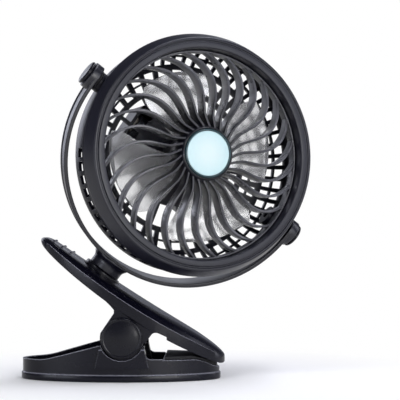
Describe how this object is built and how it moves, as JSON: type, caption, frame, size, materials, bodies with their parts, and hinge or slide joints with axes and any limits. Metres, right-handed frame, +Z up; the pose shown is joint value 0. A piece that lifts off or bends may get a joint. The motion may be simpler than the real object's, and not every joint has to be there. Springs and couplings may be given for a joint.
{
  "type": "clip-on usb fan",
  "caption": "Small round clip-on fan: swirl grille and rear cage on a tilting yoke that swivels on a sprung clip, with a rear pack for cell, speed dial and usb inlet.",
  "frame": {"origin": "on the flat underside of the lower jaw, straight below the clip's pivot", "axes": "+X towards the clip's mouth, +Y towards the back, +Z up"},
  "size_m": [0.1765, 0.1111, 0.2081],
  "materials": {
    "jaw_plastic": "satin",
    "grip_rubber": "matte",
    "steel": "brushed",
    "cap_plastic": "gloss",
    "spring_steel": "drawn wire",
    "yoke_plastic": "satin",
    "ring_plastic": "satin",
    "grille_plastic": "satin",
    "badge_rim": "gloss",
    "badge_face": "satin",
    "cage_plastic": "satin",
    "motor_steel": "plated",
    "motor_plastic": "matte",
    "impeller_plastic": "gloss, smoky",
    "pack_plastic": "satin",
    "cell_wrap": "shrink wrap",
    "contact_brass": "plated",
    "board": "solder mask",
    "switch_metal": "plated",
    "dial_plastic": "satin",
    "socket_metal": "plated",
    "lamp_lens": "clear"
  },
  "bodies": {
    "base": {"lower_jaw": "jaw_plastic", "lower_grip_pad": "grip_rubber", "pivot_pin": "steel", "pivot_cap_near": "cap_plastic", "pivot_cap_far": "cap_plastic", "clip_spring": "spring_steel"},
    "handle": {"upper_jaw": "jaw_plastic", "upper_grip_pad": "grip_rubber", "swivel_ring": "cap_plastic"},
    "yoke": {"yoke": "yoke_plastic", "swivel_washer": "steel", "swivel_screw": "steel", "tilt_washer_left": "grip_rubber", "tilt_washer_right": "grip_rubber", "tilt_screw_left": "steel", "tilt_screw_right": "steel", "tilt_knob_left": "cap_plastic", "tilt_knob_right": "cap_plastic"},
    "head": {"front_ring": "ring_plastic", "front_grille": "grille_plastic", "badge_rim": "badge_rim", "badge_disc": "badge_face", "rear_cage": "cage_plastic", "motor_can": "motor_steel", "motor_end_cap": "motor_plastic", "pack_housing": "pack_plastic", "pack_screw_left": "spring_steel", "pack_screw_right": "spring_steel", "battery_cell": "cell_wrap", "battery_contact_left": "contact_brass", "battery_contact_right": "contact_brass", "circuit_board": "board", "speed_switch": "switch_metal", "inlet_socket": "socket_metal", "indicator_lamp": "lamp_lens"},
    "rotor": {"impeller": "impeller_plastic", "motor_shaft": "steel"},
    "dial": {"speed_dial": "dial_plastic"},
    "door": {"battery_door": "pack_plastic"}
  },
  "joints": [
    {"name": "clip_open", "type": "hinge", "parent": "base", "child": "handle", "pos_m": [0, 0, 0.026], "axis": [0, -1, 0], "range_deg": [0, 35], "stiffness_Nm_per_rad": 0.35, "springref_deg": -68.75, "deforming": ["clip_spring"]},
    {"name": "yoke_swivel", "type": "hinge", "parent": "handle", "child": "yoke", "pos_m": [0.04131, 0, 0.13448], "axis": [0.6157, 0, 0.788], "continuous": true},
    {"name": "head_tilt", "type": "hinge", "parent": "yoke", "child": "head", "pos_m": [0.04131, 0, 0.13448], "axis": [0.7503, 0.3057, -0.5862], "range_deg": [-74.6, 105.4]},
    {"name": "fan_spin", "type": "hinge", "parent": "head", "child": "rotor", "pos_m": [0.04131, 0, 0.13448], "axis": [0.3957, -0.9179, 0.0278], "continuous": true},
    {"name": "speed_dial_turn", "type": "hinge", "parent": "head", "child": "dial", "pos_m": [0.01245, 0.03138, 0.11392], "axis": [-0.5296, -0.2528, -0.8097], "range_deg": [0, 270]},
    {"name": "battery_door_slide", "type": "slide", "parent": "head", "child": "door", "axis": [0.7503, 0.3057, -0.5862], "range_m": [0, 0.02]}
  ]
}
